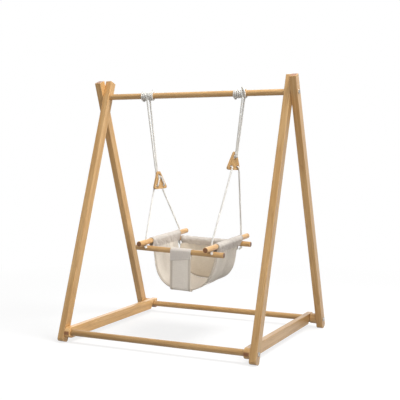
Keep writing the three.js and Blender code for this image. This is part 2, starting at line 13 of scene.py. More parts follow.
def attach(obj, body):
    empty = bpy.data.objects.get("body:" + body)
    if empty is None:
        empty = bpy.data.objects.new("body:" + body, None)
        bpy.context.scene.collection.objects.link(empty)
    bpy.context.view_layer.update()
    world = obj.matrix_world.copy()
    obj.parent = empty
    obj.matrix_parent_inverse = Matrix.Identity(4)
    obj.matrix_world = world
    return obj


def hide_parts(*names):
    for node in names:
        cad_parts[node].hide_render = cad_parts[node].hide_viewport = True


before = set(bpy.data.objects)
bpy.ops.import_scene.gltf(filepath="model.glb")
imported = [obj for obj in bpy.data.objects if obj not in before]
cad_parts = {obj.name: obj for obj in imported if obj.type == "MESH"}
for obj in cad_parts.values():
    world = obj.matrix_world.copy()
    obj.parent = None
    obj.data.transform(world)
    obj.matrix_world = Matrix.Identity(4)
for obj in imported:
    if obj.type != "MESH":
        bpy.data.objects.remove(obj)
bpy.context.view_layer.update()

MM = 0.001
SAME_CORNER = 1e-6
SHARP_EDGE = math.radians(35)

# Stand, as in the solids
LEG_SPREAD = math.radians(19.8)
LEG_PIVOT_SPAN = 1098
LEG_WIDTH = 40
LEG_FOOT = 42
FOOT_RADIUS = 12
BAR_DIAMETER = 27
FOOT_HEIGHT = (
    (LEG_FOOT - FOOT_RADIUS) * math.cos(LEG_SPREAD)
    + (LEG_WIDTH / 2 - FOOT_RADIUS) * math.sin(LEG_SPREAD)
    + FOOT_RADIUS
)
PIVOT_HEIGHT = FOOT_HEIGHT + LEG_PIVOT_SPAN * math.cos(LEG_SPREAD)

# Rope
ROPE_DIAMETER = 8
ROPE_GAP = 0.6
WRAP_GAP = 0.7
LOOP_STEPS = 24
ROPE_BEND = 6
ROPE_STEP = 1.5
ROPE_LAY = 3.4
ROPE_SIDES = 24
WRAPS = {
    "left": {
        "hang": -231.5,
        "turns_left": 2.72,
        "lift": 0.14,
        "cross": 0.44,
        "drop": 0.07,
        "turns_right": 3.3,
    },
    "right": {
        "hang": 242.3,
        "turns_left": 4.72,
        "lift": 0.12,
        "cross": 0.66,
        "drop": 0.08,
        "turns_right": 1.3,
    },
}
WRAP_RADIUS = BAR_DIAMETER / 2 + ROPE_GAP + ROPE_DIAMETER / 2
WRAP_PITCH = ROPE_DIAMETER + WRAP_GAP

# Knots, and the loose ends of the rear ones in the knot's own frame, where x points back up the rope
KNOT_DIAMETER = 13
KNOT_TILT = math.radians(20)
KNOT_TURN = math.radians(25)
KNOT_SEAT_GAP = 0.3
KNOT_STUB = 14
KNOT_STEP = 0.8
KNOT_LAY = 3.0
KNOT_SIDES = 18
KNOT_CURVE_REACH = 4.3
KNOT_FLATTEN = 0.8
KNOT_ROPE_SHARE = 0.475
LEAD_SHARE = 0.94
TAIL_SHARE = 0.8
REAR_TAILS = {
    "left": [(-1, 0, 0), (-6, 0, -3), (-13, -1, -8), (-21, -2, -14), (-29, -2, -19)],
    "right": [(-1, 0, 0), (-5, 0, 3), (-7, 1, 7), (-7, 3, 11)],
}

# Rope adjusters
ADJUSTER_HEIGHT = 80
ADJUSTER_THICKNESS = 12
ADJUSTER_TOP = {"left": 733, "right": 824}
ADJUSTER_TURN = math.radians(-20)
ADJUSTER_INWARD = 11
ADJUSTER_HOLE_DROP = 24
LOWER_HOLE_INSET = 15
LOWER_HOLE_SPREAD = 40
STRAND_CLEARANCE = 0.8
LEAVE_CLEARANCE = 4.4
FACE_OFFSET = ADJUSTER_THICKNESS / 2 + ROPE_DIAMETER / 2 + STRAND_CLEARANCE
LEAVE_OFFSET = ADJUSTER_THICKNESS / 2 + ROPE_DIAMETER / 2 + LEAVE_CLEARANCE

# Seat
SEAT_X = 9
SEAT_Y = -9
SEAT_HEIGHT = 428.5
SEAT_PITCH = math.radians(2.1)
SEAT_ROLL = math.radians(1.9)
SEAT_DOWEL = 24
SIDE_DOWEL_SPACING = 316
CROSS_DOWEL_SPACING = 322
DOWEL_DROP = 26
SEAT = (
    Matrix.Translation((SEAT_X, SEAT_Y, SEAT_HEIGHT))
    @ Matrix.Rotation(SEAT_PITCH, 4, "X")
    @ Matrix.Rotation(SEAT_ROLL, 4, "Y")
)

# Canvas
CLOTH = 1.6
SLEEVE_CLOTH = 0.8 * CLOTH
HEM_THICKNESS = 1.0
WEAVE_PITCH = 1.6
STITCH_LENGTH = 3.4
STITCH_GAP = 1.6
STITCH_RADIUS = 0.42
STITCH_SIDES = 6
STITCH_RINGS = ((0, -0.6, 0.5), (0.2, 0.3, 1), (0.8, 0.3, 1), (1, -0.6, 0.5))
SLEEVE_RADIUS = SEAT_DOWEL / 2 + 1.5
SLEEVE_TIP = 26
SIDE_SLEEVE_TIP = 32
SIDE_SLEEVE_DRAW = 5.5
SLEEVE_SEAM = 3
SLEEVE_LAYERS = 1.8
SLEEVE_HEM = (7, 9)
SLEEVE_GATHER = 0.8
SLEEVE_WAVE = 1.5
SLEEVE_CREASE = 1.1
SLEEVE_FREE = 8
SLEEVE_FRONT = -118
SLEEVE_REAR = 152
BACK_SLEEVE_LENGTH = 283
STRAP_WIDTH = 97
STRAP_SHIFT = 17
STRAP_FLARE = 0.01
STRAP_HEM = 22
STRAP_HEM_SKEW = 7
STRAP_BEHIND = 2.0
STRAP_CURVE = 14
STRAP_BEND = 1.5
STRAP_EDGE = (0.75, 0.77)
SEAT_TOP = 15.1
SEAT_DEPTH = 182
BOWL_INSET = 1.2
BOWL_HEM = (0.075, 0.085)
BOWL_SHADE = 0.9
BOWL_SHADE_DEPTH = (0.8, 1.0)
BOWL_FOLD = 3
BOWL_RIPPLE = 0.9
WALL_FOLD = 1.6
WALL_FOLD_START = (0.1, 0.28)
WALL_SWAY_END = (0.1, 0.4)
BACK_INSET = 4.3
BACK_GAP = 4
BACK_SHARE = 0.78
BACK_TAPER = 0.08
BACK_RIPPLE = 1.2
BACK_RIPPLE_TURN = 0.36
BACK_HEM = (0.04, 0.07)
BOWL_FRONT = -98
BOWL_LIP = -155
BOWL_REAR = 124
BOWL_REAR_TOP = 134
WALL_FRONT = ((0.87, 0.52), (0.84, 1))
WALL_REAR = ((0.84, 0.5), (0.97, 1))
HANG_SLANT = math.tan(SEAT_ROLL)

# Seams, as shares of the rows or columns of each sheet; at a sleeve's ends, in millimetres
BOWL_FRONT_SEAM = 0.068
BOWL_REAR_SEAMS = (0.955, 0.975)
BOWL_TOP_SEAMS = (0.012, 0.988)
BACK_SIDE_SEAMS = (0.03, 0.97)
BACK_TOP_SEAMS = (0.95, 0.98)
SLEEVE_END_SEAM = 6
SLEEVE_TIP_SEAMS = (0.045, 0.955)
STRAP_INNER_SEAMS = (0.14, 0.86)
STRAP_OUTER_SEAMS = (0.025, 0.975)
FOLD_SEAMS = (0.03, 0.97)

# Camera, fitted to the photograph
CAMERA_AZIMUTH = math.radians(25.906)
CAMERA_ELEVATION = math.radians(2.98)
CAMERA_PLACE = (1.6186, -3.3325, 0.8489)
CAMERA_LENS = 74.60
CAMERA_SHIFT = (0.01595, -0.0275)
CAMERA_SENSOR = 36

# Studio
FLOOR_SIZE = 40
FLOOR_BOUNCE = (0.3, 0.3, 0.3)
FLOOR_SHADOW = 0.28
FLOOR_LIFT = 0.76
FLOOR_FADE = (1.1, 2.4)
ROOM_LIGHT = 0.34


# Node helpers


def new_material(name):
    material = bpy.data.materials.new(name)
    material.use_nodes = True
    tree = material.node_tree
    tree.nodes.clear()
    shader = tree.nodes.new("ShaderNodeBsdfPrincipled")
    output = tree.nodes.new("ShaderNodeOutputMaterial")
    tree.links.new(shader.outputs[0], output.inputs[0])
    return material, tree, shader


def feed(tree, sockets, values):
    """Sets each socket to a value, or links it to another node's output."""
    for socket, value in zip(sockets, values):
        if isinstance(value, bpy.types.NodeSocket):
            tree.links.new(value, socket)
        else:
            socket.default_value = value


def set_inputs(tree, node, inputs):
    feed(tree, [node.inputs[key] for key in inputs], inputs.values())


def add(tree, kind, **inputs):
    node = tree.nodes.new(kind)
    set_inputs(tree, node, inputs)
    return node


def math_node(tree, operation, *values):
    node = tree.nodes.new("ShaderNodeMath")
    node.operation = operation
    feed(tree, node.inputs, values)
    return node.outputs[0]


def mix_colour(tree, factor, low, high, blend="MIX"):
    node = tree.nodes.new("ShaderNodeMix")
    node.data_type = "RGBA"
    node.blend_type = blend
    colours = [(*colour, 1) if isinstance(colour, tuple) else colour for colour in (low, high)]
    feed(tree, (node.inputs[0], node.inputs[6], node.inputs[7]), (factor, *colours))
    return node.outputs[2]


def ramp(tree, value, low, high):
    """0 below low, 1 above high, and in step between them."""
    node = tree.nodes.new("ShaderNodeMapRange")
    node.clamp = True
    feed(tree, node.inputs, (value, low, high))
    return node.outputs[0]


def bump(tree, height, strength, distance):
    return add(tree, "ShaderNodeBump", Strength=strength, Distance=distance, Height=height).outputs[0]


def rgb(red, green, blue):
    """A colour given as it shows on screen, from 0 to 255."""

    def linear(value):
        share = value / 255
        return share / 12.92 if share <= 0.04045 else ((share + 0.055) / 1.055) ** 2.4

    return (linear(red), linear(green), linear(blue))


# Materials

PINE_LIGHT = rgb(216, 177, 124)
PINE_MID = rgb(200, 157, 100)
PINE_DARK = rgb(158, 108, 58)
END_GRAIN = rgb(128, 78, 50)
DOWEL_END = rgb(92, 54, 38)
PINE_GRAIN = {
    "front_leg": (0, math.sin(LEG_SPREAD), math.cos(LEG_SPREAD)),
    "rear_leg": (0, -math.sin(LEG_SPREAD), math.cos(LEG_SPREAD)),
    "side_rail": (0, 1, 0),
    "rear_spacer": (1, 0, 0),
    "top_bar": (1, 0, 0),
    "front_dowel": (1, 0, 0),
    "rear_dowel": (1, 0, 0),
    "rope_adjuster": (0, 0.2, 1),
    "seat_dowel_front": (1, 0, 0),
    "seat_dowel_rear": (1, 0, 0),
    "seat_dowel_left": (0, 1, 0),
    "seat_dowel_right": (0, 1, 0),
}
# Painted light: each piece's pine is multiplied lighter or darker to stand in for the light and shade that
# fall on that piece
PINE_PAINTED_LIGHT = {
    "front_leg_left": 1.08,
    "front_leg_right": 0.85,
    "rear_leg_left": 1.2,
    "rear_leg_right": 1.08,
    "side_rail_left": 1.35,
    "side_rail_right": 0.9,
    "front_dowel": 0.82,
    "rope_adjuster_left": 1.05,
    "rope_adjuster_right": 1.1,
    "seat_dowel_front": 0.92,
    "seat_dowel_left": 1.2,
    "seat_dowel_right": 1.2,
}
CANVAS_LIGHT = rgb(233, 225, 212)
CANVAS_DARK = rgb(215, 206, 193)
STRAP_LIGHT = rgb(246, 238, 226)
STRAP_DARK = rgb(230, 221, 209)
LINING_LIGHT = rgb(231, 219, 201)
LINING_DARK = rgb(212, 199, 179)
SLEEVE_LIGHT = rgb(226, 218, 209)
SLEEVE_DARK = rgb(206, 197, 188)
# Painted shade, multiplied into the hems and into the low inside of the bowl
HEM_PAINTED_SHADE = rgb(226, 222, 218)
CANVAS_SHADE = rgb(176, 166, 150)
THREAD = rgb(240, 234, 222)
COTTON_LIGHT = rgb(243, 241, 235)
COTTON_DARK = rgb(222, 219, 212)
STEEL_LIGHT = rgb(196, 194, 190)
STEEL_DARK = rgb(150, 148, 144)


def along_grain(tree, place, along, seed):
    """The object's coordinates turned so that x runs along the grain, moved for each piece."""
    turn = along.rotation_difference(Vector((1, 0, 0))).to_euler()
    move = (seed * 1.37, seed * 0.11, seed * 0.07)
    mapping = add(tree, "ShaderNodeMapping", Vector=place.outputs["Object"], Rotation=turn, Location=move)
    return mapping.outputs[0]


def object_noise(tree, scale, detail):
    place = add(tree, "ShaderNodeTexCoord")
    noise = add(tree, "ShaderNodeTexNoise", Vector=place.outputs["Object"], Scale=scale, Detail=detail)
    return noise.outputs[0]


def stretched_noise(tree, vector, stretch, **inputs):
    mapping = add(tree, "ShaderNodeMapping", Vector=vector, Scale=stretch)
    return add(tree, "ShaderNodeTexNoise", Vector=mapping.outputs[0], **inputs).outputs[0]


def end_share(tree, place, along):
    """1 on faces cut across the grain, 0 on the others."""
    dot = tree.nodes.new("ShaderNodeVectorMath")
    dot.operation = "DOT_PRODUCT"
    feed(tree, dot.inputs, (place.outputs["Normal"], along))
    return ramp(tree, math_node(tree, "ABSOLUTE", dot.outputs["Value"]), 0.9, 0.98)


def cut_end(tree, turned, end_grain):
    """The colour of wood cut across the grain, darker in its pores."""
    pores = add(tree, "ShaderNodeTexNoise", Vector=turned, Scale=700, Detail=2)
    porous = math_node(tree, "MULTIPLY", ramp(tree, pores.outputs[0], 0.4, 0.65), 0.5)
    return mix_colour(tree, porous, end_grain, PINE_DARK)


def pine(name, grain, seed, painted_light, end_grain):
    """Oiled pine with its grain along a direction of the row's frame, multiplied lighter or darker as
    painted light.
    """
    material, tree, shader = new_material(name)
    place = add(tree, "ShaderNodeTexCoord")
    along = Vector(grain).normalized()
    turned = along_grain(tree, place, along, seed)
    broad = stretched_noise(tree, turned, (1.1, 26, 26), Scale=2.4, Detail=3, Roughness=0.5)
    fine = stretched_noise(tree, turned, (14, 900, 900), Scale=1, Detail=4, Roughness=0.6)
    bands = math_node(tree, "POWER", math_node(tree, "FRACT", math_node(tree, "MULTIPLY", broad, 7)), 2.5)
    body = mix_colour(tree, ramp(tree, broad, 0.35, 0.65), PINE_LIGHT, PINE_MID)
    grained = mix_colour(tree, math_node(tree, "MULTIPLY", bands, 0.42), body, PINE_DARK)
    flecks = math_node(tree, "MULTIPLY", ramp(tree, fine, 0.5, 0.75), 0.35)
    flecked = mix_colour(tree, flecks, grained, PINE_DARK)
    end = math_node(tree, "MULTIPLY", end_share(tree, place, along), 0.9)
    colour = mix_colour(tree, end, flecked, cut_end(tree, turned, end_grain))
    # Painted light: the whole pine multiplied lighter or darker for the light this piece gets
    painted_lit = mix_colour(tree, 1.0, colour, (painted_light, painted_light, painted_light), "MULTIPLY")
    height = math_node(tree, "ADD", fine, math_node(tree, "MULTIPLY", bands, 0.6))
    set_inputs(tree, shader, {
        "Base Color": painted_lit,
        "Roughness": math_node(tree, "ADD", math_node(tree, "MULTIPLY", fine, 0.14), 0.25),
        "Specular IOR Level": 0.25,
        "Coat Weight": 0.25,
        "Coat Roughness": 0.3,
        "Normal": bump(tree, height, 0.35, 0.0004),
    })
    return material


def metal():
    material, tree, shader = new_material("zinc_steel")
    noise = object_noise(tree, 900, 3)
    set_inputs(tree, shader, {
        "Base Color": mix_colour(tree, noise, STEEL_DARK, STEEL_LIGHT),
        "Roughness": math_node(tree, "ADD", math_node(tree, "MULTIPLY", noise, 0.2), 0.25),
        "Metallic": 1,
        "Normal": bump(tree, noise, 0.15, 0.0002),
    })
    return material


def cotton():
    material, tree, shader = new_material("cotton_rope")
    fibres = object_noise(tree, 1200, 4)
    broad = object_noise(tree, 60, 2)
    parts = [math_node(tree, "MULTIPLY", fibres, 0.6), math_node(tree, "MULTIPLY", broad, 0.4)]
    shade = math_node(tree, "ADD", *parts)
    set_inputs(tree, shader, {
        "Base Color": mix_colour(tree, ramp(tree, shade, 0.3, 0.7), COTTON_DARK, COTTON_LIGHT),
        "Roughness": 0.95,
        "Sheen Weight": 0.3,
        "Subsurface Weight": 0.5,
        "Subsurface Scale": 0.003,
        "Subsurface Radius": (1, 1, 1),
        "Normal": bump(tree, fibres, 0.5, 0.0005),
    })
    return material


def canvas(name, light, dark):
    """Plain weave in millimetres of the cloth; hems, where two layers lie together, and the low inside of
    the bowl are painted darker as shade.
    """
    material, tree, shader = new_material(name)
    place = add(tree, "ShaderNodeUVMap")
    place.uv_map = "weave"
    parts = add(tree, "ShaderNodeSeparateXYZ", Vector=place.outputs[0])
    waves = []
    for axis in ("X", "Y"):
        turned = math_node(tree, "MULTIPLY", parts.outputs[axis], 2 * math.pi / WEAVE_PITCH)
        waves.append(math_node(tree, "SINE", turned))
    weave = math_node(tree, "MULTIPLY", *waves)
    stretches = ((0.05, 1.1, 1), (1.1, 0.05, 1))
    slubs = [stretched_noise(tree, place.outputs[0], stretch, Scale=1, Detail=3) for stretch in stretches]
    slub = math_node(tree, "MULTIPLY", math_node(tree, "ADD", *slubs), 0.5)
    broad = add(tree, "ShaderNodeTexNoise", Vector=place.outputs[0], Scale=0.035, Detail=3)
    yarn = mix_colour(tree, ramp(tree, slub, 0.38, 0.62), dark, light)
    patches = math_node(tree, "MULTIPLY", ramp(tree, broad.outputs[0], 0.3, 0.7), 0.25)
    soft = mix_colour(tree, patches, yarn, dark)
    # Painted shade in the hollows of the weave
    hollows = math_node(tree, "MULTIPLY", ramp(tree, weave, -0.2, -0.9), 0.12)
    woven = mix_colour(tree, hollows, soft, CANVAS_SHADE)
    # Painted shade: the hem attribute multiplies the cloth darker on hems and on the low inside of the bowl
    hem = tree.nodes.new("ShaderNodeAttribute")
    hem.attribute_name = "hem"
    doubled = mix_colour(tree, hem.outputs["Fac"], woven, HEM_PAINTED_SHADE, "MULTIPLY")
    height = math_node(tree, "ADD", weave, math_node(tree, "MULTIPLY", slub, 1.5))
    set_inputs(tree, shader, {
        "Base Color": doubled,
        "Roughness": 0.95,
        "Sheen Weight": 0.15,
        "Normal": bump(tree, height, 0.35, 0.0003),
    })
    return material


def sewing_thread():
    material, tree, shader = new_material("sewing_thread")
    noise = object_noise(tree, 2500, 2)
    set_inputs(tree, shader, {
        "Base Color": mix_colour(tree, noise, CANVAS_DARK, THREAD),
        "Roughness": 0.8,
        "Normal": bump(tree, noise, 0.4, 0.0002),
    })
    return material


def smooth_modifier():
    """Merges split corners, then shades smooth except at sharp edges."""
    group = bpy.data.node_groups.new("smooth_by_angle", "GeometryNodeTree")
    group.interface.new_socket("Geometry", in_out="INPUT", socket_type="NodeSocketGeometry")
    group.interface.new_socket("Geometry", in_out="OUTPUT", socket_type="NodeSocketGeometry")
    start = group.nodes.new("NodeGroupInput")
    end = group.nodes.new("NodeGroupOutput")
    merge = group.nodes.new("GeometryNodeMergeByDistance")
    merge.inputs["Distance"].default_value = SAME_CORNER
    faces = group.nodes.new("GeometryNodeSetShadeSmooth")
    faces.domain = "FACE"
    edges = group.nodes.new("GeometryNodeSetShadeSmooth")
    edges.domain = "EDGE"
    edges.inputs["Shade Smooth"].default_value = False
    angle = group.nodes.new("GeometryNodeInputMeshEdgeAngle")
    sharp = group.nodes.new("FunctionNodeCompare")
    sharp.operation = "GREATER_THAN"
    sharp.inputs["B"].default_value = SHARP_EDGE
    group.links.new(start.outputs[0], merge.inputs["Geometry"])
    group.links.new(merge.outputs["Geometry"], faces.inputs["Geometry"])
    group.links.new(faces.outputs[0], edges.inputs["Geometry"])
    group.links.new(angle.outputs["Unsigned Angle"], sharp.inputs["A"])
    group.links.new(sharp.outputs[0], edges.inputs["Selection"])
    group.links.new(edges.outputs[0], end.inputs[0])
    return group


# Meshes of ropes and cloth


def make_piece(name, points, faces, material, uvs=None):
    """A mesh from points in millimetres of the row's frame."""
    mesh = bpy.data.meshes.new(name)
    mesh.from_pydata((np.asarray(points) * MM).tolist(), [], faces)
    mesh.shade_smooth()
    if uvs is not None:
        layer = mesh.uv_layers.new(name="weave")
        corners = np.empty(len(mesh.loops), dtype=np.int32)
        mesh.loops.foreach_get("vertex_index", corners)
        layer.data.foreach_set("uv", np.asarray(uvs)[corners].ravel())
    mesh.materials.append(material)
    piece = bpy.data.objects.new(name, mesh)
    bpy.context.scene.collection.objects.link(piece)
    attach(piece, "swing")
    return piece


def seat_place(points):
    """Points of the seat's own frame, in the row's frame."""
    turned = np.array(SEAT.to_3x3())
    return np.asarray(points, dtype=float) @ turned.T + np.array(SEAT.translation)


def evenly(points, step):
    """The same line through points a step apart."""
    points = np.asarray([tuple(point) for point in points], dtype=float)
    lengths = np.r_[0, np.cumsum(np.linalg.norm(np.diff(points, axis=0), axis=1))]
    count = max(int(round(lengths[-1] / step)), 2)
    places = np.linspace(0, lengths[-1], count + 1)
    return np.stack([np.interp(places, lengths, points[:, k]) for k in range(3)], axis=1)


def softened(points, rounds):
    """The same line with its corners eased, its ends kept."""
    points = points.copy()
    for _ in range(rounds):
        points[1:-1] += (points[:-2] + points[2:] - 2 * points[1:-1]) / 4
    return points


def twisted_rope(name, points, diameter, material, step=ROPE_STEP, lay=ROPE_LAY, sides=ROPE_SIDES):
    """Three strands laid together along a line, as one closed mesh; lay is a turn's length in diameters."""
    line = softened(evenly(points, step), 2)
    tangents = np.gradient(line, axis=0)
    tangents /= np.linalg.norm(tangents, axis=1)[:, None]
    side = np.cross(tangents[0], (0.0, 0.6, 0.8))
    vertices = []
    strand = diameter / 4
    for k, (point, tangent) in enumerate(zip(line, tangents)):
        side = side - tangent * side.dot(tangent)
        side /= np.linalg.norm(side)
        other = np.cross(tangent, side)
        twist = 2 * math.pi * k * step / (lay * diameter)
        for j in range(sides):
            angle = 2 * math.pi * j / sides
            near = (angle - twist + math.pi / 3) % (2 * math.pi / 3) - math.pi / 3
            radius = strand * (math.cos(near) + math.sqrt(1 - math.sin(near) ** 2))
            vertices.append(point + radius * (math.cos(angle) * side + math.sin(angle) * other))
    return make_piece(name, vertices, tube_faces(0, len(line), sides), material), line


def cloth_normals(grid):
    normal = np.cross(np.gradient(grid, axis=0), np.gradient(grid, axis=1))
    return normal / (np.linalg.norm(normal, axis=2)[..., None] + 1e-9)


def shell(name, grid, hem, material, thickness=CLOTH, inner=None):
    """A closed sheet of cloth about a grid of points; hem is 1 where it is folded double.

    inner is the same painted shade on the inside alone, where the cloth lies in the shade of its folds.
    """
    rows, columns = grid.shape[:2]
    normal = cloth_normals(grid)
    half = (thickness + HEM_THICKNESS * hem)[..., None] / 2
    points = np.concatenate([(grid + face * normal * half).reshape(-1, 3) for face in (1, -1)])
    u = np.cumsum(np.r_[np.zeros((1, columns)), np.linalg.norm(np.diff(grid, axis=0), axis=2)], axis=0)
    v = np.cumsum(np.c_[np.zeros((rows, 1)), np.linalg.norm(np.diff(grid, axis=1), axis=2)], axis=1)
    uvs = np.stack([u, v], axis=2).reshape(-1, 2)
    count = rows * columns
    at = np.arange(count).reshape(rows, columns)
    a, b = at[:-1, :-1].ravel(), at[:-1, 1:].ravel()
    c, d = at[1:, 1:].ravel(), at[1:, :-1].ravel()
    faces = np.stack([a, d, c, b], axis=1).tolist()
    faces += (np.stack([a, b, c, d], axis=1) + count).tolist()
    rim = np.r_[at[0, :], at[1:, -1], at[-1, -2::-1], at[-2:0:-1, 0]]
    after = np.roll(rim, -1)
    faces += np.stack([rim, after, after + count, rim + count], axis=1).tolist()
    piece = make_piece(name, points, faces, material, np.r_[uvs, uvs])
    layer = piece.data.attributes.new("hem", "FLOAT", "POINT")
    inside = hem if inner is None else np.maximum(hem, inner)
    layer.data.foreach_set("value", np.r_[hem.ravel(), inside.ravel()])
    return piece


def sample(field, rows, columns):
    """Values of a grid between its points."""
    i = np.clip(rows.astype(int), 0, field.shape[0] - 2)
    j = np.clip(columns.astype(int), 0, field.shape[1] - 2)
    a, b = (rows - i)[:, None], (columns - j)[:, None]
    low = field[i, j] * (1 - b) + field[i, j + 1] * b
    high = field[i + 1, j] * (1 - b) + field[i + 1, j + 1] * b
    return low * (1 - a) + high * a


def seam_lines(grid, rows, columns, thickness):
    """A seam's points and outward normals, on both faces of the cloth.

    rows and columns are shares of the grid: one number where the seam keeps to a line, else two.
    """
    count = 200
    down = np.broadcast_to(rows, count) if np.ndim(rows) == 0 else np.linspace(*rows, count)
    over = np.broadcast_to(columns, count) if np.ndim(columns) == 0 else np.linspace(*columns, count)
    down = down * (grid.shape[0] - 1)
    over = over * (grid.shape[1] - 1)
    centre = sample(grid, down, over)
    normal = sample(cloth_normals(grid), down, over)
    normal /= np.linalg.norm(normal, axis=1)[:, None] + 1e-9
    return [(centre + face * normal * thickness / 2, face * normal) for face in (1, -1)]


def along_line(lengths, values, place):
    return np.array([np.interp(place, lengths, values[:, k]) for k in range(3)])


def stitch(first, last, out):
    """Rings of points, each with its share of the length and its lift and size in radii.

    The ends are thinner and dip into the cloth.
    """
    ahead = (last - first) / np.linalg.norm(last - first)
    aside = np.cross(ahead, out)
    points = []
    for share, lift, size in STITCH_RINGS:
        centre = first + (last - first) * share + out * lift * STITCH_RADIUS
        for k in range(STITCH_SIDES):
            angle = 2 * math.pi * k / STITCH_SIDES
            spoke = math.cos(angle) * aside + math.sin(angle) * out
            points.append(centre + spoke * size * STITCH_RADIUS)
    return points


def tube_faces(base, rings, sides):
    """Faces of a closed tube whose rings of points follow one another from base."""
    faces = []
    for ring in range(rings - 1):
        for k in range(sides):
            a = base + ring * sides + k
            b = base + ring * sides + (k + 1) % sides
            faces.append((a, b, b + sides, a + sides))
    last = base + (rings - 1) * sides
    faces.append(tuple(base + k for k in range(sides))[::-1])
    faces.append(tuple(last + k for k in range(sides)))
    return faces


def stitch_rows(name, lines, material):
    """Rows of stitches along lines of points with their normals, as one mesh."""
    vertices = []
    faces = []
    for points, normals in lines:
        lengths = np.r_[0, np.cumsum(np.linalg.norm(np.diff(points, axis=0), axis=1))]
        for start in np.arange(1, lengths[-1] - STITCH_LENGTH, STITCH_LENGTH + STITCH_GAP):
            faces += tube_faces(len(vertices), len(STITCH_RINGS), STITCH_SIDES)
            first = along_line(lengths, points, start)
            last = along_line(lengths, points, start + STITCH_LENGTH)
            vertices += stitch(first, last, along_line(lengths, normals, start))
    return make_piece(name, vertices, faces, material)


# The ropes: the same routes as in the solids


def adjuster_matrix(word, side):
    hole = ADJUSTER_TOP[word] - ADJUSTER_HOLE_DROP
    upper = WRAPS[word]["hang"]
    lower = SEAT_X + side * SIDE_DOWEL_SPACING / 2
    fall = PIVOT_HEIGHT - SEAT_HEIGHT
    share = (PIVOT_HEIGHT - hole) / fall
    x = upper + (lower - upper) * share - side * ADJUSTER_INWARD
    return (
        Matrix.Translation((x, SEAT_Y * share, hole))
        @ Matrix.Rotation(math.atan2(upper - lower, fall), 4, "Y")
        @ Matrix.Rotation(ADJUSTER_TURN, 4, "Z")
    )


def ease(share):
    return (1 - math.cos(math.pi * min(max(share, 0), 1))) / 2


def winding(hang, turns_left, lift, cross, drop, turns_right):
    """The rope on the bar: turns to the left, one crossing behind it, turns back to the middle.

    hang is where on the bar the strands hang; the rest are counted in turns. The rope climbs onto
    its own turns in lift, runs back over them in cross, and comes down in drop, the end of cross.
    """
    rise = turns_left + lift
    land = rise + cross
    rest = math.ceil(land + turns_right) - land
    start = hang - WRAP_PITCH / 4
    left = start - WRAP_PITCH * rise
    right = start + WRAP_PITCH * rest
    points = []
    for i in range(round((land + rest - 0.5) * LOOP_STEPS) + 1):
        turn = i / LOOP_STEPS
        angle = turn * 2 * math.pi
        raised = ease((turn - turns_left) / lift) - ease((turn - land + drop) / drop)
        radius = WRAP_RADIUS + raised * WRAP_PITCH
        x = start - WRAP_PITCH * turn
        if turn > rise:
            x = left + (right - left) * ease((turn - rise) / cross)
        if turn > land:
            x = right - WRAP_PITCH * (turn - land)
        points.append(Vector((x, radius * math.cos(angle), PIVOT_HEIGHT + radius * math.sin(angle))))
    return points


def rounded(corners, radius, steps=8):
    """The corners of a route with each inner corner turned into an arc."""
    route = [corners[0]]
    for before, corner, after in zip(corners, corners[1:], corners[2:]):
        into = (corner - before).normalized()
        out = (after - corner).normalized()
        turn = into.angle(out)
        start = corner - into * radius * math.tan(turn / 2)
        inward = (out - into * out.dot(into)).normalized()
        centre = start + inward * radius
        for k in range(steps + 1):
            angle = turn * k / steps
            route.append(centre - inward * radius * math.cos(angle) + into * radius * math.sin(angle))
    return route + [corners[-1]]


def strand_route(word, side, end, bar):
    """From the bar through the adjuster, then down through both dowels of the corner."""
    plate = adjuster_matrix(word, side)
    lower = ADJUSTER_HOLE_DROP - ADJUSTER_HEIGHT + LOWER_HOLE_INSET
    outer = side * FACE_OFFSET
    leave = side * LEAVE_OFFSET
    x = side * SIDE_DOWEL_SPACING / 2
    y = end * CROSS_DOWEL_SPACING / 2
    entry = SEAT_DOWEL / 2 + ROPE_DIAMETER
    return rounded([
        bar,
        plate @ Vector((outer, end * WRAP_PITCH / 2, 0)),
        plate @ Vector((-outer, end * WRAP_PITCH / 2, 0)),
        plate @ Vector((-outer, end * LOWER_HOLE_SPREAD / 2, lower)),
        plate @ Vector((leave, end * LOWER_HOLE_SPREAD / 2, lower)),
        SEAT @ Vector((x, y, entry)),
        SEAT @ Vector((x, y, -DOWEL_DROP - ROPE_DIAMETER / 2)),
    ], ROPE_BEND)


def knot_line(size, steps=150):
    """The closed curve of an overhand knot drawn tight, about the origin and flattened along x."""
    points = []
    for k in range(steps):
        t = 2 * math.pi * k / steps
        points.append((
            -math.sin(3 * t) * KNOT_FLATTEN * size,
            (math.sin(t) + 2 * math.sin(2 * t)) * size,
            (math.cos(t) - 2 * math.cos(2 * t)) * size,
        ))
    return points


def make_knot(name, node, centre, turn, tail, material):
    """A stopper knot with the rope into it and its cut end; x points back along the rope."""
    place = SEAT @ Matrix.Translation(centre) @ turn
    loop = [place @ Vector(point) for point in knot_line(KNOT_DIAMETER / 2 / KNOT_CURVE_REACH)]
    thick = KNOT_DIAMETER * KNOT_ROPE_SHARE
    closed = loop + loop[:2]
    knot, _ = twisted_rope(f"{name}_loop", closed, thick, material, KNOT_STEP, KNOT_LAY, KNOT_SIDES)
    into = [place @ Vector((KNOT_STUB - k * (KNOT_STUB + 1) / 6, 0, 0)) for k in range(7)]
    out = [place @ Vector(point) for point in tail]
    lead, _ = twisted_rope(f"{name}_lead", into, ROPE_DIAMETER * LEAD_SHARE, material, KNOT_STEP)
    end, _ = twisted_rope(f"{name}_end", out, ROPE_DIAMETER * TAIL_SHARE, material, KNOT_STEP)
    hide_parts(node)
    return [knot, lead, end]


def build_rope(word, side, material):
    points = winding(**WRAPS[word])
    rear = strand_route(word, side, 1, points[0])
    front = strand_route(word, side, -1, points[-1])
    route = [*reversed(rear[1:]), *points, *front[1:]]
    piece, line = twisted_rope(f"hanging_rope_{word}", route, ROPE_DIAMETER, material)
    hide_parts(f"rope_{word}")
    knots = build_knots(word, side, material)


